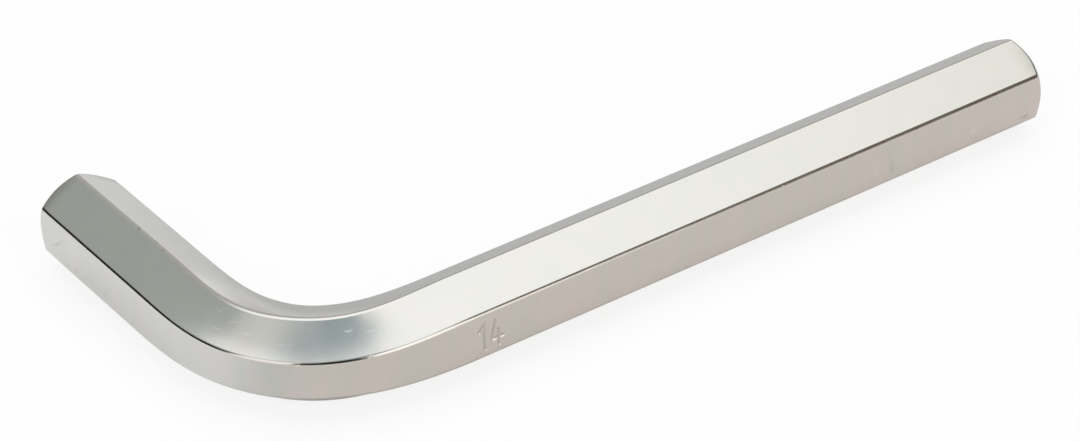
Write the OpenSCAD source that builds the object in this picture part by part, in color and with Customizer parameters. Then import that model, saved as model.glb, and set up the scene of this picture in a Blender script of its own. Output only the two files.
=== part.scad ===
// L-shaped hex key, bent from one length of rounded hexagon bar. Millimetres, +Z up.
// The key lies as it comes to rest: the plane of its bend is level, and both arms bear on their lowest edge.
// X runs along the long arm and Y along the short one. The origin is under the middle of the key's box.

/* [Bar] */
// Width of the hexagon across its flats, a little under the 14 mm socket that it enters
across_flats = 13.9; // [8:0.1:24]
// Radius that rounds the bar's six long edges
edge_radius = 0.85; // [0.3:0.05:1.5]

/* [Arms] */
// Overall length of the long arm, from the short arm's outer flat to the long tip
long_arm = 154; // [90:0.5:240]
// Overall length of the short arm, from the long arm's outer flat to the short tip
short_arm = 69.5; // [50:0.5:120]

/* [Bend] */
// Radius of the bend at the bar's inner flat, where the bend is tightest
inner_bend_radius = 12.4; // [10:0.1:24]
// Length over which the bar eases from straight into that radius, at each end of the bend
ease_length = 22; // [4:0.5:30]
// Share of the stretch outside and the squeeze inside that the section's width gives way to
section_draw = 0.45; // [0:0.05:0.6]
// Share of the bar's height that bending takes off
section_flattening = 0.035; // [0:0.005:0.06]

/* [Tips] */
// How far the turned cone of each tip reaches back along the middle of a flat
tip_setback = 1.1; // [0.2:0.1:2]
// Angle between the turned cone and the end face
tip_angle = 40; // [25:1:60]

/* [Smoothness] */
// Steps round each of the bar's long edges
edge_steps = 4; // [2:1:8]
// Steps across each flat, which turns hollow or crowned in the bend
flat_steps = 4; // [2:1:8]
// Steps round the bend
bend_steps = 44; // [16:2:80]

/* [Hidden] */
$fn = 96;

// The bar's section, with its flats facing the inside and the outside of the bend.
edge_count = 6;
edge_turn = 360 / edge_count;
edge_centre = (across_flats - 2 * edge_radius) / sqrt(3);
half_height = edge_centre + edge_radius;

// The bend, which turns through a right angle. Its curvature rises about one end of bend_length and falls
// about the other.
bend_radius = inner_bend_radius + across_flats / 2;
bend_length = bend_radius * PI / 2;
run_in = ease_length / 2;
bend_step = (bend_length + ease_length) / bend_steps;

// Where the arms end, from the point where their centrelines cross.
long_end = long_arm - across_flats / 2;
short_end = short_arm - across_flats / 2;
tip_face_r = across_flats / 2 - tip_setback / tan(tip_angle);

// A point on the rounding of edge k, which t takes from one flat to the next. X is outward in the bend, Y is up.
function edge_point(k, t) =
    let (middle = edge_turn * (k + 0.5), at = middle + edge_turn * (t - 0.5))
    edge_centre * [cos(middle), sin(middle)] + edge_radius * [cos(at), sin(at)];

// A point on the flat between edge k and the next one.
function flat_point(k, t) = (1 - t) * edge_point(k, 1) + t * edge_point(k + 1, 0);

section = [
    for (k = [0 : edge_count - 1]) each concat(
        [for (i = [0 : edge_steps]) edge_point(k, i / edge_steps)],
        [for (i = [1 : flat_steps - 1]) flat_point(k, i / flat_steps)]
    )
];

// A smooth rise from 0 to 1, and the area under it up to x.
function rise(x) = let (c = min(max(x, 0), 1)) c * c * (3 - 2 * c);
function risen(x) = x < 1 ? let (c = max(x, 0)) c * c * c * (1 - c / 2) : x - 1 / 2;

// How far a distance s, counted from the long arm's end, is along the rise at each end of the bend.
function in_share(s) = (s + run_in) / ease_length;
function out_share(s) = (s + run_in - bend_length) / ease_length;

// How fully the bar is bent there, from 0 on the arms to 1, and how far it has turned, in degrees.
function bentness(s) = rise(in_share(s)) - rise(out_share(s));
function turned(s) = (risen(in_share(s)) - risen(out_share(s))) * ease_length / bend_radius * 180 / PI;

// The bar's own direction there, and the direction out of the bend.
function ahead(s) = [-cos(turned(s)), sin(turned(s))];
function outward(s) = [-sin(turned(s)), -cos(turned(s))];

// Where the rings of the bent stretch stand, and the centreline's points there, added up step by step.
stations = [for (i = [0 : bend_steps]) i * bend_step - run_in];
path = [
    for (i = 0, at = [0, 0]; i <= bend_steps; at = at + bend_step * ahead(stations[i] + bend_step / 2), i = i + 1)
        at
];

// How far the bent stretch reaches along each arm, from the point where the centrelines cross.
straight_start = path[bend_steps].y;

// A section point as bending leaves it: narrower outside, wider inside, hollow outside and crowned inside.
function drawn(p, share) =
    let (draw = section_draw / bend_radius)
    [
        p.x - share * draw * (p.x * p.x - p.y * p.y) / 2,
        p.y * (1 - share * (draw * p.x + section_flattening))
    ];

// The centreline's point at station i, and the section set square to the centreline there.
function centre(i) = path[i] + [straight_start, 0];
function ring(i) = [
    for (p = section)
        let (q = drawn(p, bentness(stations[i])), at = centre(i) + q.x * outward(stations[i]))
        [at.x, at.y, q.y]
];

// The bent stretch: a skin over the rings, closed by a fan about the centre of each end.
module bend() {
    around = len(section);
    last = bend_steps;
    first_hub = around * (last + 1);
    last_hub = first_hub + 1;
    points = concat(
        [for (i = [0 : last]) each ring(i)],
        [for (i = [0, last]) [centre(i).x, centre(i).y, 0]]
    );
    sides = [
        for (i = [0 : last - 1], j = [0 : around - 1])
            let (a = i * around + j, b = i * around + (j + 1) % around)
            each [[a, a + around, b + around], [a, b + around, b]]
    ];
    ends = [
        for (j = [0 : around - 1])
            let (k = (j + 1) % around)
            each [[first_hub, j, k], [last_hub, last * around + k, last * around + j]]
    ];
    polyhedron(points = points, faces = concat(sides, ends), convexity = 4);
}

// A straight run of bar along +Z, whose far end is turned to a blunt cone.
module straight_arm(length) {
    intersection() {
        linear_extrude(height = length) polygon(section);
        cylinder(h = length, r1 = tip_face_r + length / tan(tip_angle), r2 = tip_face_r);
    }
}

// The whole key, one piece of bar.
module hex_key() {
    color([0.80, 0.80, 0.78])
        translate([-(long_arm - across_flats) / 2, -(short_arm - across_flats) / 2, half_height])
            union() {
                bend();
                translate([straight_start, 0, 0]) rotate([90, 0, 90]) straight_arm(long_end - straight_start);
                translate([0, straight_start, 0]) rotate([90, 0, 180]) straight_arm(short_end - straight_start);
            }
}

hex_key();
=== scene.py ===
"""A hex key bent from one length of rounded hexagon bar, plated in bright nickel and lying on white paper."""

import math

import bpy
import numpy as np
from mathutils import Matrix, Vector


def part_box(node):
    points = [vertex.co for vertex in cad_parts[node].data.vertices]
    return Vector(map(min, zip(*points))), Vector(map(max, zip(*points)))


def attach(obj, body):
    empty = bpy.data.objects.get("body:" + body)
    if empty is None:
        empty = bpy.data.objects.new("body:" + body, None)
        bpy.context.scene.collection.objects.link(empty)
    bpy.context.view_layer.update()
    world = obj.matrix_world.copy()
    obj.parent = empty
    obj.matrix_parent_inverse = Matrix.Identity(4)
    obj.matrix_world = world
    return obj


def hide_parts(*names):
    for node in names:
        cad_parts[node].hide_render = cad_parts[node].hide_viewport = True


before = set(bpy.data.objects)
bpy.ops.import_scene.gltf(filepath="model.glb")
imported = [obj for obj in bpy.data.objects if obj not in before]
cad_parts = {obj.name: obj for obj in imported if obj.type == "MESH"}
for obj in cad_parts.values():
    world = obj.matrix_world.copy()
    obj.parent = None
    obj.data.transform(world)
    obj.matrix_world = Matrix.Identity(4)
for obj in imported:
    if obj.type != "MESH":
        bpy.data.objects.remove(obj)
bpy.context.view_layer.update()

# Units. The key's shape is worked out in millimetres, and scaled to metres as its mesh is made.
MM = 0.001

# The bar and its bend, as in the part's own source.
ACROSS_FLATS = 13.9
EDGE_RADIUS = 0.85
INNER_BEND_RADIUS = 12.4
EASE_LENGTH = 22.0
SECTION_DRAW = 0.45
SECTION_FLATTENING = 0.035
TIP_SETBACK = 1.1
TIP_ANGLE = math.radians(40.0)

# What the frame says of the arms, from the key's own box.
LOW, HIGH = (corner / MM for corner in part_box("hex_key"))
LONG_ARM = HIGH.x - LOW.x
SHORT_ARM = HIGH.y - LOW.y
HALF_HEIGHT = (HIGH.z - LOW.z) / 2

# Sizes that follow from those.
EDGE_COUNT = 6
EDGE_TURN = 2 * math.pi / EDGE_COUNT
EDGE_CENTRE = (ACROSS_FLATS - 2 * EDGE_RADIUS) / math.sqrt(3)
FLAT_WIDTH = EDGE_CENTRE
BEND_RADIUS = INNER_BEND_RADIUS + ACROSS_FLATS / 2
BEND_LENGTH = BEND_RADIUS * math.pi / 2
RUN_IN = EASE_LENGTH / 2
TIP_FACE_RADIUS = ACROSS_FLATS / 2 - TIP_SETBACK / math.tan(TIP_ANGLE)
CROSSING = np.array([LOW.x + ACROSS_FLATS / 2, LOW.y + ACROSS_FLATS / 2, LOW.z + HALF_HEIGHT])

# How finely the mesh is divided, and how near to the outer flat a point counts as on it.
EDGE_STEPS = 8
PLAIN_FLAT_STEPS = 7
STAMPED_FLAT_STEPS = 84
HOLDING_GAP = 0.05
FLAT_TOLERANCE = 1e-6
ARM_STEP = 2.0
BEND_STEP = 0.7
STAMP_STEP = 0.085
TIP_BAND = 4.0
PATH_STEPS = 4000

# The tips: a small break on each turned edge, and the tool marks and the hollow of the end face.
TIP_EDGE_BREAK = 0.2
BREAK_STEPS = 5
TURNING_PITCH = 0.5
TURNING_DEPTH = 0.012
TURNING_STEPS_PER_PITCH = 4
FACE_HOLLOW = 0.06

# The size number, struck into the long arm's outer flat with a single line. It starts this far along the arm
# from the point where the centrelines cross. Each stroke is a run of points: how far along the arm towards
# the tip, and how far up from the foot of the digits.
STAMP_START = 30.95
STAMP_FOOT = -2.6
ONE = [[(0.25, 3.45), (1.35, 4.6), (1.35, 0.0)]]
FOUR = [[(3.45, 4.6), (2.65, 1.35), (4.75, 1.35)], [(3.95, 2.8), (3.95, 0.0)]]
STAMP_LENGTH = 4.95
STAMP_MARGIN = 1.0
STROKE_HALF_WIDTH = 0.42
STROKE_DEPTH = 0.13
STROKE_RIM = 0.04
STROKE_RIM_WIDTH = 0.22

# The plate's own colours: its faint patches, the stains that the outer flat has instead, what shows on
# polished edges and in scratches, and a dark tone for the dark marks and for the darker struck number.
PLATE_WARM = (0.641, 0.609, 0.583, 1)
PLATE_COOL = (0.633, 0.617, 0.590, 1)
STAIN_WARM = (0.655, 0.612, 0.590, 1)
STAIN_COOL = (0.615, 0.608, 0.578, 1)
POLISHED_PLATE = (0.72, 0.70, 0.66, 1)
SCRATCHED_PLATE = (0.90, 0.89, 0.87, 1)
PLATE_DARK = (0.36, 0.33, 0.29, 1)
EDGE_POLISH = 0.20
# How far the struck number is mixed towards the dark tone, most at the floor of its strokes.
STAMP_DARKENING = 0.30

# The patches and stains: how broad each is in metres, how the stains are drawn out along Z, how many times
# smaller the fine ones are, how much of the whole those make up, and how sharply the two colours part.
PATCH_SIZE = 0.0045
STAIN_SIZE = 0.0032
STAIN_SQUEEZE = (1.0, 1.0, 0.3)
FINE_PATCH_RATIO = 3.4
FINE_PATCH_SHARE = 0.35
PATCH_CHANGE = (0.36, 0.64)

# How rough the plate is, and how much rougher in a scratch and on the turned ends.
PLATE_ROUGHNESS = (0.145, 0.17)
SCRATCH_ROUGHNESS = 0.20
TURNED_ROUGHNESS = 0.12

# The plate's waves and orange peel: how broad each is in metres, how high the peel is as a share of the
# waves, and how high a full wave is in metres.
WAVE_SIZE = 0.007
PEEL_SIZE = 0.0006
PEEL_SHARE = 0.02
SURFACE_HEIGHT = 0.00003

# Marks from use, in millimetres. Each is a line on the flat after edge k: k, how far along the bar and across
# the flat it starts and then ends, its half width, and how strongly it shows. Along the bar counts from the
# bend's long end, and across the flat counts from its middle.
OUTER, UPPER_OUTER, UPPER_INNER = 5, 0, 1
DARK_MARKS = [
    (OUTER, 63.3, 2.3, 70.0, -2.8, 0.35, 0.42),
    (OUTER, 56.0, -0.5, 58.3, -2.8, 0.40, 0.26),
    (OUTER, 60.3, -1.5, 61.7, -3.5, 0.40, 0.26),
    (OUTER, 50.6, 0.4, 52.4, -3.2, 0.45, 0.20),
    (OUTER, 42.3, -1.5, 44.0, -3.5, 0.40, 0.24),
    (OUTER, 39.4, -0.6, 39.7, -0.7, 0.35, 0.20),
    (OUTER, -19.9, -0.2, -19.4, -0.4, 0.55, 0.12),
    (OUTER, -92.8, 2.8, -93.3, 0.4, 0.50, 0.16),
    (OUTER, -93.3, 0.4, -93.9, -2.6, 0.70, 0.24),
    (OUTER, -123.3, -2.8, -121.7, -2.9, 0.60, 0.35),
    (UPPER_INNER, -115.3, 1.9, -112.7, -1.4, 0.45, 0.35),
    (UPPER_INNER, 46.0, -4.1, 46.8, -4.0, 0.38, 0.85),
    (UPPER_INNER, 43.3, -4.1, 43.7, -4.1, 0.30, 0.80),
    (UPPER_INNER, 51.0, -4.1, 51.6, -4.0, 0.36, 0.85),
    (UPPER_OUTER, -116.2, -3.9, -115.6, -3.9, 0.28, 0.55),
    (OUTER, -110.9, 0.2, -110.5, 0.0, 0.70, 0.10),
    (UPPER_OUTER, -48.9, -3.9, -48.2, -3.9, 0.18, 0.45),
    (UPPER_OUTER, -36.4, -3.9, -34.8, -3.9, 0.16, 0.45),
    (UPPER_OUTER, -30.6, -3.9, -29.4, -3.9, 0.16, 0.40),
]
LIGHT_MARKS = [
    (UPPER_OUTER, -70.9, -3.7, -70.6, -4.5, 0.20, 0.85),
    (UPPER_OUTER, 6.2, 1.5, 8.0, 1.1, 0.20, 0.42),
    (UPPER_OUTER, 8.7, 1.0, 8.1, -0.1, 0.15, 0.30),
    (UPPER_OUTER, 12.0, 0.9, 13.6, 0.5, 0.18, 0.36),
    (UPPER_OUTER, 13.8, 1.9, 14.3, 0.8, 0.16, 0.30),
    (UPPER_OUTER, 2.6, 0.1, 5.0, 0.6, 0.16, 0.40),
    (UPPER_OUTER, 10.8, 2.1, 13.0, 1.8, 0.18, 0.30),
    (UPPER_OUTER, 14.4, -0.4, 16.4, -0.8, 0.18, 0.34),
    (UPPER_OUTER, 19.6, 0.3, 22.0, 0.1, 0.20, 0.30),
    (UPPER_OUTER, 22.2, 1.4, 24.8, 1.1, 0.20, 0.34),
    (UPPER_OUTER, 24.0, -0.6, 26.6, -0.8, 0.20, 0.30),
    (UPPER_OUTER, 25.4, 2.2, 28.0, 1.9, 0.20, 0.28),
    (UPPER_OUTER, 4.2, -3.8, 4.5, -4.0, 0.30, 1.0),
    (UPPER_OUTER, 5.2, -3.8, 5.4, -4.0, 0.26, 1.0),
    (UPPER_OUTER, 13.5, -3.8, 13.9, -4.0, 0.28, 1.0),
    (UPPER_OUTER, -34.6, -3.8, -33.6, -3.9, 0.20, 0.70),
    (UPPER_OUTER, -43.9, -3.8, -43.4, -3.8, 0.15, 0.50),
    (OUTER, -111.8, -1.3, -111.0, -1.4, 0.70, 0.15),
    (OUTER, -90.5, -1.3, -89.9, -1.2, 0.70, 0.15),
]

# How ragged the marks are: how far a line wanders in metres, how fine that is, where it breaks up, how much
# is left there, and the share of its half width in which it shows fully.
MARK_WANDER = 0.0012
MARK_GRAIN = 900.0
MARK_BREAK = (0.35, 0.55)
MARK_LEFT = 0.35
MARK_CORE = 0.3


def rise(x):
    """A smooth rise from 0 to 1."""
    held = np.clip(x, 0, 1)
    return held * held * (3 - 2 * held)


def risen(x):
    """The area under that rise up to x."""
    held = np.clip(x, 0, 1)
    return held ** 3 * (1 - held / 2) + np.maximum(x - 1, 0)


def edge_arc(k):
    """Points round the rounding of the bar's edge k, as (outward, up)."""
    middle = EDGE_TURN * (k + 0.5)
    at = middle + EDGE_TURN * (np.linspace(0, 1, EDGE_STEPS + 1) - 0.5)
    centre = EDGE_CENTRE * np.array([math.cos(middle), math.sin(middle)])
    return centre + EDGE_RADIUS * np.stack([np.cos(at), np.sin(at)], 1)


def flat_span(k):
    """Points across the flat after edge k, held close to both of its edges so that it shades flat."""
    steps = STAMPED_FLAT_STEPS if k == EDGE_COUNT - 1 else PLAIN_FLAT_STEPS
    gap = HOLDING_GAP / FLAT_WIDTH
    share = np.linspace(gap, 1 - gap, steps + 1)[:, None]
    return (1 - share) * edge_arc(k)[-1] + share * edge_arc(k + 1)[0]


def bar_section():
    """The whole section, and how far each point is into an edge's rounding: 1 in its middle, 0 on a flat."""
    points, rounding = [], []
    for k in range(EDGE_COUNT):
        arc, flat = edge_arc(k), flat_span(k)
        points += [arc, flat]
        rounding += [np.sin(np.linspace(0, math.pi, len(arc))), np.zeros(len(flat))]
    return np.concatenate(points), np.concatenate(rounding)


def drawn(section, share):
    """The section as bending leaves it: narrower and hollow outside, wider and crowned inside."""
    outward, up = section.T
    draw = SECTION_DRAW / BEND_RADIUS
    return np.stack([
        outward - share * draw * (outward ** 2 - up ** 2) / 2,
        up * (1 - share * (draw * outward + SECTION_FLATTENING)),
    ], 1)


def bentness(s):
    """How fully the bar is bent at a distance s from the bend's long end: 0 on the arms, 1 in the middle."""
    return rise((s + RUN_IN) / EASE_LENGTH) - rise((s + RUN_IN - BEND_LENGTH) / EASE_LENGTH)


def turn_at(s):
    """How far the bar has turned at a distance s."""
    started, ended = ((s + RUN_IN - start) / EASE_LENGTH for start in (0, BEND_LENGTH))
    return (risen(started) - risen(ended)) * EASE_LENGTH / BEND_RADIUS


def bent_path():
    """The centreline through the bent stretch, added up in short steps, as distances and (x, y) points."""
    s = np.linspace(-RUN_IN, BEND_LENGTH + RUN_IN, PATH_STEPS + 1)
    middle = turn_at((s[1:] + s[:-1]) / 2)
    steps = np.stack([-np.cos(middle), np.sin(middle)], 1) * (s[1] - s[0])
    path = np.concatenate([np.zeros((1, 2)), np.cumsum(steps, 0)])
    return s, path + [path[-1, 1], 0]


PATH_S, PATH = bent_path()
BEND_REACH = PATH[0, 0]
LONG_TIP = -(LONG_ARM - ACROSS_FLATS / 2 - BEND_REACH + RUN_IN)
SHORT_TIP = SHORT_ARM - ACROSS_FLATS / 2 - BEND_REACH + RUN_IN + BEND_LENGTH


def along_arm(s):
    """How far along the long arm a distance s is, from the point where the centrelines cross."""
    return BEND_REACH - RUN_IN - s


def centreline(s):
    """The centreline's point and its outward direction at a distance s from the bend's long end."""
    turn = float(turn_at(s))
    outward = np.array([-math.sin(turn), -math.cos(turn), 0])
    x, y = (np.interp(s, PATH_S, PATH[:, axis]) for axis in (0, 1))
    arms = np.array([max(PATH_S[0] - s, 0), max(s - PATH_S[-1], 0), 0])
    return CROSSING + np.array([x, y, 0]) + arms, outward


def stations():
    """Where the rings of the bar stand, close together where the number is struck and round the bend."""
    stamp_near = BEND_REACH - RUN_IN - STAMP_START + STAMP_MARGIN
    stamp_far = stamp_near - STAMP_LENGTH - 2 * STAMP_MARGIN
    stretches = [
        (LONG_TIP + TIP_BAND, stamp_far, ARM_STEP),
        (stamp_far, stamp_near, STAMP_STEP),
        (stamp_near, PATH_S[-1], BEND_STEP),
        (PATH_S[-1], SHORT_TIP - TIP_BAND, ARM_STEP),
    ]
    rows = [np.linspace(a, b, math.ceil((b - a) / step) + 1) for a, b, step in stretches]
    return np.unique(np.concatenate(rows).round(6))


def distance_to_strokes(along, up):
    """How far each point of the outer flat lies from the middle of the nearest stroke of the number."""
    nearest = np.full(along.shape, np.inf)
    for stroke in ONE + FOUR:
        for (x0, y0), (x1, y1) in zip(stroke, stroke[1:]):
            dx, dy = x1 - x0, y1 - y0
            t = np.clip(((along - x0) * dx + (up - y0) * dy) / (dx * dx + dy * dy), 0, 1)
            nearest = np.minimum(nearest, np.hypot(along - x0 - t * dx, up - y0 - t * dy))
    return nearest


def on_outer_flat(section):
    """1 for each section point on the flat that faces out of the bend, and 0 for the others."""
    return np.where(section[:, 0] > ACROSS_FLATS / 2 - FLAT_TOLERANCE, 1.0, 0.0)


def struck(section, s):
    """How far the punch pushed each point of the outer flat inward, less the rim it raised, and a mask."""
    on_flat = on_outer_flat(section)
    along = np.full(len(section), along_arm(s) - STAMP_START)
    away = distance_to_strokes(along, section[:, 1] - STAMP_FOOT)
    groove = STROKE_DEPTH * (1 - rise(away / STROKE_HALF_WIDTH))
    rim = STROKE_RIM * np.exp(-((away - STROKE_HALF_WIDTH - STROKE_RIM_WIDTH / 2) / STROKE_RIM_WIDTH) ** 2)
    return on_flat * (groove - rim), on_flat * groove / STROKE_DEPTH


def bar_ring(section, s):
    """One ring of the bar in millimetres, and the struck number's mask at each of its points."""
    centre, outward = centreline(s)
    inward, depth = struck(section, s)
    shape = drawn(section, bentness(s))
    ring = centre + (shape[:, :1] - inward[:, None]) * outward
    ring[:, 2] += shape[:, 1]
    return ring, depth


def broken_corner(before, corner, after):
    """A corner of the tip's profile eased into a short curve, as rows of (radius, distance back)."""
    reach = []
    for end in (before, after):
        run = end - corner
        reach.append(corner + run / np.linalg.norm(run, axis=1, keepdims=True) * TIP_EDGE_BREAK)
    rows = []
    for t in np.linspace(0, 1, BREAK_STEPS):
        rows.append((1 - t) ** 2 * reach[0] + 2 * t * (1 - t) * corner + t * t * reach[1])
    return rows


def tip_profile(section):
    """The tip from the bar's side to the middle of its face, as a (radius, distance back) for each point."""
    radius = np.linalg.norm(section, axis=1)
    setback = np.maximum(radius - TIP_FACE_RADIUS, 0) * math.tan(TIP_ANGLE)
    side = np.stack([radius, setback + TIP_BAND], 1)
    shoulder = np.stack([radius, setback], 1)
    rim = np.stack([np.full(len(radius), TIP_FACE_RADIUS), np.zeros(len(radius))], 1)
    middle = np.zeros_like(rim)
    rows = broken_corner(side, shoulder, rim) + broken_corner(shoulder, rim, middle)
    inside = TIP_FACE_RADIUS - TIP_EDGE_BREAK
    steps = round(inside / TURNING_PITCH * TURNING_STEPS_PER_PITCH)
    for share in np.linspace(1, 0, steps, endpoint=False)[1:]:
        r = inside * share
        mark = TURNING_DEPTH * (1 - math.cos(2 * math.pi * r / TURNING_PITCH)) / 2
        back = FACE_HOLLOW * float(rise((inside - r) / inside)) + mark
        rows.append(np.stack([np.full(len(radius), r), np.full(len(radius), back)], 1))
    return rows


def tip_rings(section, s):
    """The rings that close the bar at its end s, and how far each is onto the turned surfaces."""
    tip, outward = centreline(s)
    along = np.array([1.0, 0, 0]) if s < 0 else np.array([0, 1.0, 0])
    unit = section / np.linalg.norm(section, axis=1, keepdims=True)
    rings, turned = [], []
    for i, row in enumerate(tip_profile(section)):
        flat = unit * row[:, :1]
        ring = tip + flat[:, :1] * outward - row[:, 1:] * along
        ring[:, 2] += flat[:, 1]
        rings.append(ring)
        turned.append(float(rise(i / (BREAK_STEPS - 1))))
    return rings, turned


def key_mesh():
    """The whole key as one closed skin, with values that say what each point is part of."""
    section, rounding = bar_section()
    around = len(section)
    long_rings, long_turned = tip_rings(section, LONG_TIP)
    short_rings, short_turned = tip_rings(section, SHORT_TIP)
    rings, turned = long_rings[::-1], long_turned[::-1]
    stamp = [np.zeros(around)] * len(long_rings)
    for s in stations():
        ring, depth = bar_ring(section, s)
        rings.append(ring)
        stamp.append(depth)
        turned.append(0.0)
    rings += short_rings
    stamp += [np.zeros(around)] * len(short_rings)
    turned += short_turned
    hubs = [rings[0].mean(0), rings[-1].mean(0)]
    points = np.concatenate(rings + [np.array(hubs)]) * MM
    values = {
        "edge": np.append(np.tile(rounding, len(rings)), [0, 0]),
        "outer": np.append(np.tile(on_outer_flat(section), len(rings)), [0, 0]),
        "stamp": np.append(np.concatenate(stamp), [0, 0]),
        "turned": np.append(np.repeat(turned, around), [1, 1]),
    }
    return points, skin_faces(len(rings), around), values


def skin_faces(rings, around):
    """Faces that join each ring to the next, with a fan about the hub at each end."""
    here = np.arange(around)
    beside = (here + 1) % around
    faces = []
    for i in range(rings - 1):
        a, b = i * around + here, i * around + beside
        faces += np.stack([a, b, b + around, a + around], 1).tolist()
    first_hub, last_hub = rings * around, rings * around + 1
    last = (rings - 1) * around
    faces += [[first_hub, int(k), int(j)] for j, k in zip(here, beside)]
    faces += [[last_hub, int(last + j), int(last + k)] for j, k in zip(here, beside)]
    return faces


def new_piece(name, points, faces, values):
    """A smooth-shaded mesh object with one float attribute for each of its named values."""
    mesh = bpy.data.meshes.new(name)
    mesh.from_pydata(points.tolist(), [], faces)
    mesh.shade_smooth()
    for key, numbers in values.items():
        mesh.attributes.new(key, "FLOAT", "POINT").data.foreach_set("value", numbers.astype(np.float32))
    mesh.validate()
    piece = bpy.data.objects.new(name, mesh)
    bpy.context.scene.collection.objects.link(piece)
    return piece


def node(tree, kind, **settings):
    """A shader node, with its properties set by name and its inputs by socket name or number."""
    made = tree.nodes.new("ShaderNode" + kind)
    inputs = settings.pop("inputs", {})
    for key, value in settings.items():
        setattr(made, key, value)
    for socket, value in inputs.items():
        if isinstance(value, bpy.types.NodeSocket):
            tree.links.new(value, made.inputs[socket])
        else:
            made.inputs[socket].default_value = value
    return made


def math_node(tree, operation, *values, clamp=False):
    """The result of one Math node."""
    made = node(tree, "Math", operation=operation, use_clamp=clamp, inputs=dict(enumerate(values)))
    return made.outputs[0]


def vector_node(tree, operation, *values, result=0):
    """One result of one Vector Math node."""
    return node(tree, "VectorMath", operation=operation, inputs=dict(enumerate(values))).outputs[result]


def ramp_value(tree, value, low, high, to_low=0.0, to_high=1.0):
    """A value taken smoothly from one range to another."""
    inputs = {"Value": value, "From Min": low, "From Max": high, "To Min": to_low, "To Max": to_high}
    return node(tree, "MapRange", interpolation_type="SMOOTHSTEP", inputs=inputs).outputs["Result"]


def mix_color(tree, factor, a, b):
    """Two colours mixed."""
    return node(tree, "Mix", data_type="RGBA", inputs={0: factor, 6: a, 7: b}).outputs[2]


def new_group(name, inputs, outputs):
    """An empty shader node group with named inputs and outputs, as (tree, input sockets, output node)."""
    tree = bpy.data.node_groups.new(name, "ShaderNodeTree")
    for label, kind, value in inputs:
        socket = tree.interface.new_socket(label, in_out="INPUT", socket_type="NodeSocket" + kind)
        socket.default_value = value
    for label, kind in outputs:
        tree.interface.new_socket(label, in_out="OUTPUT", socket_type="NodeSocket" + kind)
    return tree, tree.nodes.new("NodeGroupInput").outputs, tree.nodes.new("NodeGroupOutput")


def attribute(tree, name):
    """One of the mesh's named values."""
    return node(tree, "Attribute", attribute_name=name).outputs["Fac"]


def plate_mottle_group():
    """The faint warm and cool patches that bright nickel shows, on two scales."""
    tree, given, out = new_group(
        "plate_mottle",
        [("Warm", "Color", PLATE_WARM), ("Cool", "Color", PLATE_COOL), ("Patch Size", "Float", PATCH_SIZE),
         ("Squeeze", "Vector", (1, 1, 1))],
        [("Color", "Color"), ("Patch", "Float")],
    )
    place = vector_node(tree, "MULTIPLY", node(tree, "TexCoord").outputs["Object"], given["Squeeze"])
    scale = math_node(tree, "DIVIDE", 1.0, given["Patch Size"])
    fine_scale = math_node(tree, "MULTIPLY", scale, FINE_PATCH_RATIO)
    broad = node(tree, "TexNoise", inputs={"Vector": place, "Scale": scale, "Detail": 1.5, "Roughness": 0.45})
    fine = node(tree, "TexNoise", inputs={"Vector": place, "Scale": fine_scale, "Detail": 2.0})
    broad_part = math_node(tree, "MULTIPLY", broad.outputs["Fac"], 1 - FINE_PATCH_SHARE)
    both = math_node(tree, "MULTIPLY_ADD", fine.outputs["Fac"], FINE_PATCH_SHARE, broad_part)
    patch = ramp_value(tree, both, *PATCH_CHANGE)
    tree.links.new(mix_color(tree, patch, given["Warm"], given["Cool"]), out.inputs["Color"])
    tree.links.new(patch, out.inputs["Patch"])
    return tree


def rolled_surface_group():
    """The height of a rolled and plated surface: long soft waves and a fine orange peel."""
    tree, given, out = new_group(
        "rolled_surface",
        [("Wave Size", "Float", WAVE_SIZE), ("Peel Size", "Float", PEEL_SIZE),
         ("Peel Share", "Float", PEEL_SHARE)],
        [("Height", "Float")],
    )
    place = node(tree, "TexCoord").outputs["Object"]
    wave_scale = math_node(tree, "DIVIDE", 1.0, given["Wave Size"])
    peel_scale = math_node(tree, "DIVIDE", 1.0, given["Peel Size"])
    waves = node(tree, "TexNoise", inputs={"Vector": place, "Scale": wave_scale, "Detail": 1.0})
    peel = node(tree, "TexNoise", inputs={"Vector": place, "Scale": peel_scale, "Detail": 1.5})
    height = math_node(tree, "MULTIPLY_ADD", peel.outputs["Fac"], given["Peel Share"], waves.outputs["Fac"])
    tree.links.new(height, out.inputs["Height"])
    return tree


def scratch_group():
    """A slim mark on the key, soft at its sides and tapered to its ends: 1 in its middle."""
    tree, given, out = new_group(
        "scratch",
        [("Place", "Vector", (0, 0, 0)), ("Middle", "Vector", (0, 0, 0)), ("Turn", "Vector", (0, 0, 0)),
         ("Half Size", "Vector", (1, 1, 1))],
        [("Mask", "Float")],
    )
    within = node(tree, "Mapping", vector_type="TEXTURE", inputs={
        "Vector": given["Place"], "Location": given["Middle"], "Rotation": given["Turn"],
        "Scale": given["Half Size"]}).outputs[0]
    away = vector_node(tree, "LENGTH", within, result="Value")
    tree.links.new(ramp_value(tree, away, MARK_CORE, 1.0, 1.0, 0.0), out.inputs["Mask"])
    return tree


def flat_place(k, s, across):
    """A point on the flat after edge k, in metres: at a distance s and this far across from its middle."""
    share = 0.5 + across / FLAT_WIDTH
    on_flat = (1 - share) * edge_arc(k)[-1:] + share * edge_arc(k + 1)[:1]
    centre, outward = centreline(s)
    shape = drawn(on_flat, bentness(s))[0]
    return Vector((centre + shape[0] * outward + [0, 0, shape[1]]) * MM)


def mark_inputs(k, start, end, half_width):
    """The middle, turn and half size of the ellipsoid whose cut with the plate is one mark from use."""
    first, last = flat_place(k, *start), flat_place(k, *end)
    run = last - first
    half = half_width * MM
    return {
        "Middle": (first + last) / 2,
        "Turn": run.to_track_quat("X", "Z").to_euler(),
        "Half Size": (run.length / 2 + half, half, half),
    }


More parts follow.
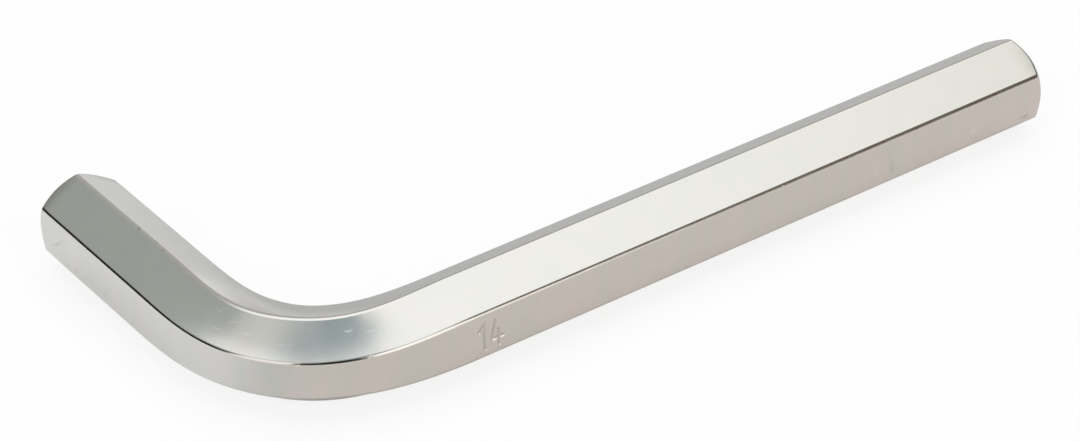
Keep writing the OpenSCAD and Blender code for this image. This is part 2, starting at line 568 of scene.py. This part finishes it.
def placed_marks(tree):
    """Where the marks from use lie, ragged and broken, as two masks: the dark ones and the light ones."""
    group = scratch_group()
    place = node(tree, "TexCoord").outputs["Object"]
    wander = node(tree, "TexNoise", inputs={"Vector": place, "Scale": MARK_GRAIN, "Detail": 1.0}).outputs
    centred = vector_node(tree, "SUBTRACT", wander["Color"], (0.5, 0.5, 0.5))
    ragged = vector_node(tree, "MULTIPLY_ADD", centred, (MARK_WANDER, MARK_WANDER, MARK_WANDER), place)
    kept = ramp_value(tree, wander["Fac"], *MARK_BREAK, MARK_LEFT, 1.0)
    masks = []
    for marks in (DARK_MARKS, LIGHT_MARKS):
        mask = 0.0
        for k, s0, across0, s1, across1, half_width, strength in marks:
            scratch = node(tree, "Group", node_tree=group, inputs={
                "Place": ragged, **mark_inputs(k, (s0, across0), (s1, across1), half_width)})
            shown = math_node(tree, "MULTIPLY", scratch.outputs["Mask"], strength)
            mask = math_node(tree, "MAXIMUM", mask, shown)
        masks.append(math_node(tree, "MULTIPLY", mask, kept))
    return masks


def nickel_plate():
    """Bright nickel over steel, duller on the turned ends and darker in the struck number."""
    material = bpy.data.materials.new("nickel_plate")
    material.use_nodes = True
    tree = material.node_tree
    shader = tree.nodes["Principled BSDF"]
    shader.inputs["Metallic"].default_value = 1.0
    edge, outer, stamp, turned = (attribute(tree, name) for name in ("edge", "outer", "stamp", "turned"))

    patches = plate_mottle_group()
    mottle = node(tree, "Group", node_tree=patches, inputs={
        "Warm": PLATE_WARM, "Cool": PLATE_COOL, "Patch Size": PATCH_SIZE})
    stains = node(tree, "Group", node_tree=patches, inputs={
        "Warm": STAIN_WARM, "Cool": STAIN_COOL, "Patch Size": STAIN_SIZE, "Squeeze": STAIN_SQUEEZE})
    bare = mix_color(tree, outer, mottle.outputs["Color"], stains.outputs["Color"])
    dark, light = placed_marks(tree)
    polished = mix_color(tree, math_node(tree, "MULTIPLY", edge, EDGE_POLISH), bare, POLISHED_PLATE)
    scratched = mix_color(tree, light, polished, SCRATCHED_PLATE)
    scuffed = mix_color(tree, dark, scratched, PLATE_DARK)
    # The struck number is made darker, most at the floor of its strokes.
    stamp_darkened = mix_color(tree, math_node(tree, "MULTIPLY", stamp, STAMP_DARKENING), scuffed, PLATE_DARK)
    tree.links.new(stamp_darkened, shader.inputs["Base Color"])

    plain = ramp_value(tree, mottle.outputs["Patch"], 0.0, 1.0, *PLATE_ROUGHNESS)
    turned_rough = math_node(tree, "MULTIPLY_ADD", turned, TURNED_ROUGHNESS, plain)
    scratched_rough = math_node(tree, "MULTIPLY_ADD", light, SCRATCH_ROUGHNESS, turned_rough)
    tree.links.new(scratched_rough, shader.inputs["Roughness"])

    surface = node(tree, "Group", node_tree=rolled_surface_group(), inputs={
        "Wave Size": WAVE_SIZE, "Peel Size": PEEL_SIZE, "Peel Share": PEEL_SHARE})
    bump = node(tree, "Bump", inputs={
        "Strength": 1.0, "Distance": SURFACE_HEIGHT, "Height": surface.outputs["Height"]})
    tree.links.new(bump.outputs["Normal"], shader.inputs["Normal"])
    return material


def make_key(material):
    """The key's own skin, which stands for its solid and rides on the one body."""
    key = new_piece("plated_key", *key_mesh())
    key.data.materials.append(material)
    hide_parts("hex_key")
    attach(key, "root")
    return key


# The studio, as the plate reflects it. A colour of 1 is white. The floor is this long and wide, in metres.
FLOOR_SIZE = 6.0

# An oval light overhead, which fades towards the back and turns dimmer and warmer towards the right. Its
# middle, its half widths and where it changes are counted on a ceiling 1 above the key.
TOP_LIGHT_MIDDLE = (0.236, 0.344, 0.0)
TOP_LIGHT_SIZE = (0.905, 0.703, 1.0)
TOP_LIGHT_TURN = (0.0, 0.0, -0.363)
TOP_LIGHT_BORDER = 0.03
TOP_LIGHT_FADE = (0.42, 0.86)
TOP_LIGHT = (1.39, 1.43, 1.44, 1)
TOP_LIGHT_RIGHT = (1.20, 1.22, 1.16, 1)
TOP_LIGHT_RIGHTWARD = (0.50, 0.85)
LEAST_CEILING_HEIGHT = 0.05

# The room round it: dark near the horizon, and pale higher up. The dark reaches higher in front than
# behind.
ROOM_LOW = (0.012, 0.011, 0.009, 1)
ROOM_SIDE = (0.502, 0.545, 0.521, 1)
ROOM_OVERHEAD = (0.423, 0.518, 0.548, 1)
ROOM_LEAN = (0.0, 0.234, 1.0)
ROOM_CHANGE = (0.60, 0.78)
OVERHEAD_CHANGE = (0.72, 0.90)

# Windows and cards: name, azimuth and elevation of the middle, half width, half height, soft border, colour.
# Azimuth runs from +Y towards +X, and all angles are in degrees.
PANELS = [
    ("back_haze", 28, 40, 24, 40, 16, (0.560, 0.548, 0.530, 1)),
    ("back_wall", 55, 1, 10.5, 5, 12, (1.06, 1.08, 1.10, 1)),
    ("left_wash", -102, 56.4, 38, 2.2, 11, (0.785, 0.810, 0.790, 1)),
    ("front_wash", 142, 55.6, 22.3, 6.6, 5.7, (1.35, 1.38, 1.34, 1)),
    ("left_window", -107, 20, 18, 30, 5, (1.25, 1.25, 1.22, 1)),
    ("dim_corner", 137.4, 22.6, 26.3, 26.8, 11.5, (0.165, 0.139, 0.110, 1)),
    ("front_card", 168.2, 18.5, 17.3, 28.3, 3.1, (1.56, 1.54, 1.50, 1)),
]

# The paper that the key lies on. The camera sees it white, with a faint shadow. The plate sees it with a
# painted shadow of the key: warm and darker in front of it, grey and darker behind it, and white to the left
# and far away. Places are in metres.
PAPER_SHOWN = (0.20, 0.20, 0.20, 1)
PAINTED_SHADOW_FRONT = (0.868, 0.818, 0.788, 1)
PAINTED_SHADOW_BEHIND = (0.598, 0.600, 0.602, 1)
PAPER_OPEN = (1.000, 1.014, 1.024, 1)
FRONT_TO_BEHIND = (-0.040, -0.020)
OPEN_LEFT_X = (-0.075, -0.040)
OPEN_LEFT_Y = (-0.045, -0.008)
OPEN_FAR_Y = (0.085, 0.190)
OPEN_FAR_X = (0.090, 0.140)
OPEN_FAR_RIGHT = 0.4
CAMERA_GLOW = 4.2
MIRROR_GLOW = 0.2


def panel_group():
    """How much of a soft-edged panel lies in one direction of the room: 1 inside it, 0 beyond its border."""
    angles = (
        "Azimuth", "Elevation", "Middle Azimuth", "Middle Elevation", "Half Width", "Half Height", "Border")
    tree, given, out = new_group(
        "soft_panel", [(angle, "Float", 0.0) for angle in angles], [("Share", "Float")])
    sideways = math_node(tree, "SUBTRACT", given["Azimuth"], given["Middle Azimuth"])
    across = math_node(tree, "WRAP", sideways, 180.0, -180.0)
    upward = math_node(tree, "SUBTRACT", given["Elevation"], given["Middle Elevation"])
    shares = []
    for offset, half in ((across, given["Half Width"]), (upward, given["Half Height"])):
        beyond = math_node(tree, "SUBTRACT", math_node(tree, "ABSOLUTE", offset), half)
        into_border = math_node(tree, "DIVIDE", beyond, given["Border"])
        shares.append(ramp_value(tree, into_border, 0.0, 1.0, 1.0, 0.0))
    tree.links.new(math_node(tree, "MULTIPLY", *shares), out.inputs["Share"])
    return tree


def light_room():
    """A white room to the camera. To the key it is a dim one with an oval light, windows and cards."""
    world = bpy.data.worlds.new("studio_room")
    bpy.context.scene.world = world
    world.use_nodes = True
    tree = world.node_tree
    tree.nodes.clear()
    direction = node(tree, "TexCoord").outputs["Generated"]
    x, y, z = node(tree, "SeparateXYZ", inputs={0: direction}).outputs
    azimuth = math_node(tree, "DEGREES", math_node(tree, "ARCTAN2", x, y))
    elevation = math_node(tree, "DEGREES", math_node(tree, "ARCSINE", z))

    lean = vector_node(tree, "DOT_PRODUCT", direction, ROOM_LEAN, result="Value")
    upper = mix_color(tree, ramp_value(tree, z, *OVERHEAD_CHANGE), ROOM_SIDE, ROOM_OVERHEAD)
    room = mix_color(tree, ramp_value(tree, lean, *ROOM_CHANGE), ROOM_LOW, upper)
    group = panel_group()
    for name, middle_azimuth, middle_elevation, half_width, half_height, border, color in PANELS:
        panel = node(tree, "Group", node_tree=group, label=name, inputs={
            "Azimuth": azimuth, "Elevation": elevation, "Middle Azimuth": middle_azimuth,
            "Middle Elevation": middle_elevation, "Half Width": half_width, "Half Height": half_height,
            "Border": border})
        room = mix_color(tree, panel.outputs["Share"], room, color)

    height = math_node(tree, "MAXIMUM", z, LEAST_CEILING_HEIGHT)
    ceiling_x, ceiling_y = (math_node(tree, "DIVIDE", side, height) for side in (x, y))
    on_ceiling = node(tree, "CombineXYZ", inputs={0: ceiling_x, 1: ceiling_y})
    on_light = node(tree, "Mapping", vector_type="TEXTURE", inputs={
        "Vector": on_ceiling.outputs[0], "Location": TOP_LIGHT_MIDDLE, "Rotation": TOP_LIGHT_TURN,
        "Scale": TOP_LIGHT_SIZE})
    away = vector_node(tree, "LENGTH", on_light.outputs[0], result="Value")
    inside = ramp_value(tree, away, 1 - TOP_LIGHT_BORDER, 1 + TOP_LIGHT_BORDER, 1.0, 0.0)
    fade = ramp_value(tree, ceiling_y, *TOP_LIGHT_FADE, 1.0, 0.0)
    top_share = math_node(tree, "MULTIPLY", inside, fade)
    rightward = ramp_value(tree, ceiling_x, *TOP_LIGHT_RIGHTWARD)
    room = mix_color(tree, top_share, room, mix_color(tree, rightward, TOP_LIGHT, TOP_LIGHT_RIGHT))

    lit = node(tree, "Background", inputs={"Color": room, "Strength": 1.0})
    seen = node(tree, "Background", inputs={"Color": (1, 1, 1, 1), "Strength": 1.0})
    camera_ray = node(tree, "LightPath").outputs["Is Camera Ray"]
    shown = node(tree, "MixShader", inputs={0: camera_ray, 1: lit.outputs[0], 2: seen.outputs[0]})
    target = node(tree, "OutputWorld")
    tree.links.new(shown.outputs[0], target.inputs["Surface"])


def floor_paper():
    """White paper that glows white to the camera, less and with a painted shadow to the plate, and takes the
    key's shadow.
    """
    material = bpy.data.materials.new("floor_paper")
    material.use_nodes = True
    tree = material.node_tree
    tree.nodes.clear()
    place = node(tree, "TexCoord").outputs["Object"]
    x, y, _ = node(tree, "SeparateXYZ", inputs={0: place}).outputs
    # Painted shadow: what the plate sees of the paper is darker near the key, warm in front and grey behind,
    # and opens to white to the left and far away.
    near = mix_color(tree, ramp_value(tree, y, *FRONT_TO_BEHIND), PAINTED_SHADOW_FRONT, PAINTED_SHADOW_BEHIND)
    leftward = ramp_value(tree, x, *OPEN_LEFT_X, 1.0, 0.0)
    open_left = math_node(tree, "MULTIPLY", leftward, ramp_value(tree, y, *OPEN_LEFT_Y))
    rightward = ramp_value(tree, x, *OPEN_FAR_X, 1.0, OPEN_FAR_RIGHT)
    open_far = math_node(tree, "MULTIPLY", ramp_value(tree, y, *OPEN_FAR_Y), rightward)
    open_share = math_node(tree, "MAXIMUM", open_left, open_far)
    mirror_tone_with_painted_shadow = mix_color(tree, open_share, near, PAPER_OPEN)

    light = node(tree, "LightPath").outputs
    tone = mix_color(tree, light["Is Glossy Ray"], PAPER_SHOWN, mirror_tone_with_painted_shadow)
    camera_part = math_node(tree, "MULTIPLY", light["Is Camera Ray"], CAMERA_GLOW)
    strength = math_node(tree, "MULTIPLY_ADD", light["Is Glossy Ray"], MIRROR_GLOW, camera_part)
    paper = node(tree, "BsdfDiffuse", inputs={"Color": tone})
    glow = node(tree, "Emission", inputs={"Color": tone, "Strength": strength})
    shown = node(tree, "AddShader", inputs={0: paper.outputs[0], 1: glow.outputs[0]})
    target = node(tree, "OutputMaterial")
    tree.links.new(shown.outputs[0], target.inputs["Surface"])
    return material


def make_floor():
    """The floor, a plain sheet at the key's lowest point."""
    half = FLOOR_SIZE / 2
    corners = np.array([(-half, -half, 0), (half, -half, 0), (half, half, 0), (-half, half, 0)], float)
    floor = new_piece("floor", corners, [[0, 1, 2, 3]], {})
    floor.data.materials.append(floor_paper())


# The camera, solved from the straight edges of the photograph. Places are in metres, the lens in
# millimetres.
CAMERA_AZIMUTH = math.radians(-34.70)
CAMERA_ELEVATION = math.radians(33.45)
CAMERA_ROLL = math.radians(-1.79)
CAMERA_DISTANCE = 0.59907
CAMERA_AIM = Vector((-0.01248, -0.01399, 0.00789))
CAMERA_LENS = 124.75


def make_camera():
    """A long lens, above and to the left of the key's front, tipped very slightly."""
    reach = math.cos(CAMERA_ELEVATION)
    level_back = Vector((math.sin(CAMERA_AZIMUTH), -math.cos(CAMERA_AZIMUTH), 0))
    back = level_back * reach + Vector((0, 0, math.sin(CAMERA_ELEVATION)))
    level_right = Vector((math.cos(CAMERA_AZIMUTH), math.sin(CAMERA_AZIMUTH), 0))
    right = math.cos(CAMERA_ROLL) * level_right + math.sin(CAMERA_ROLL) * back.cross(level_right)
    up = back.cross(right)
    data = bpy.data.cameras.new("camera")
    data.sensor_width = 36.0
    data.sensor_fit = "HORIZONTAL"
    data.lens = CAMERA_LENS
    data.clip_start = 0.01
    camera = bpy.data.objects.new("camera", data)
    camera.matrix_world = Matrix.Translation(CAMERA_AIM + back * CAMERA_DISTANCE) @ Matrix(
        (right, up, back)).transposed().to_4x4()
    bpy.context.scene.collection.objects.link(camera)
    bpy.context.scene.camera = camera


make_camera()
light_room()
make_floor()
make_key(nickel_plate())
bpy.context.scene.view_settings.view_transform = "Standard"
